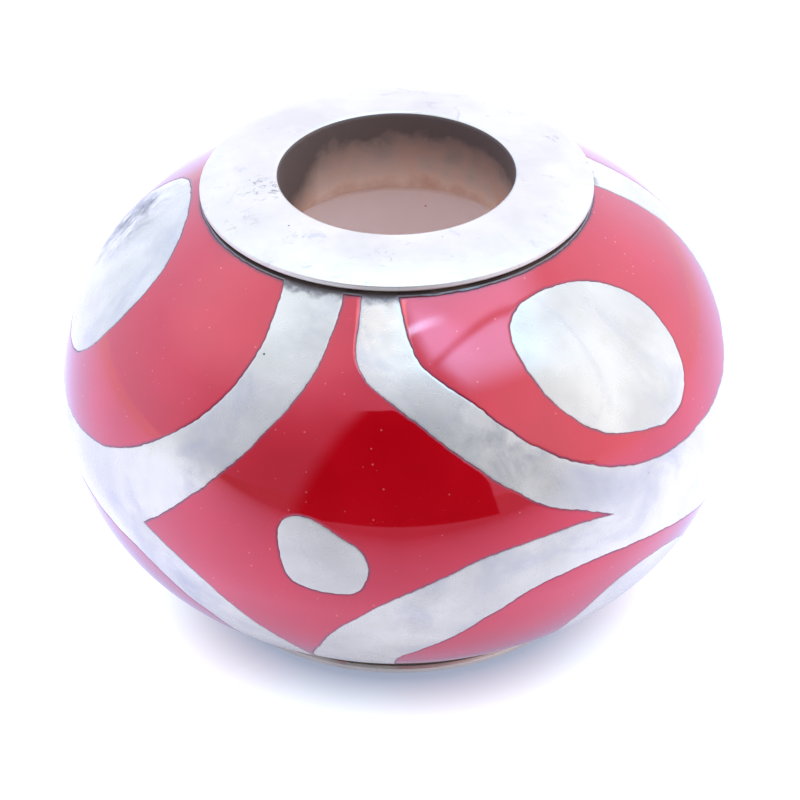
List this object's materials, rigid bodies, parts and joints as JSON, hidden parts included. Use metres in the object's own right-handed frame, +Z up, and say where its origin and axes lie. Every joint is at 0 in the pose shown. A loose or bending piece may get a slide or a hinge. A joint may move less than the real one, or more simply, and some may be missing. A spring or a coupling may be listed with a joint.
{
  "type": "large-hole enamel bead charm",
  "caption": "Squat round silver bead charm with a large through hole, a domed cap at each end and glossy red enamel laid between hand-drawn silver bands and islands.",
  "frame": {"origin": "centre of the lower end's plane, where the bead stands, on the hole's axis", "axes": "+Z up along the hole, -Y towards the front of the picture, +X to its right"},
  "size_m": [0.014, 0.014, 0.0099],
  "materials": {
    "silver": "polished, with small pits and wear",
    "cap_silver": "satin, with fine scratches",
    "enamel": "high gloss"
  },
  "bodies": {
    "root": {"bead_body": "silver", "cap_top": "cap_silver", "cap_bottom": "cap_silver", "enamel_diamond_1": "enamel", "enamel_diamond_2": "enamel", "enamel_diamond_3": "enamel", "enamel_upper_1": "enamel", "enamel_upper_2": "enamel", "enamel_upper_3": "enamel", "enamel_lower_1": "enamel", "enamel_lower_2": "enamel", "enamel_lower_3": "enamel"}
  },
  "joints": []
}
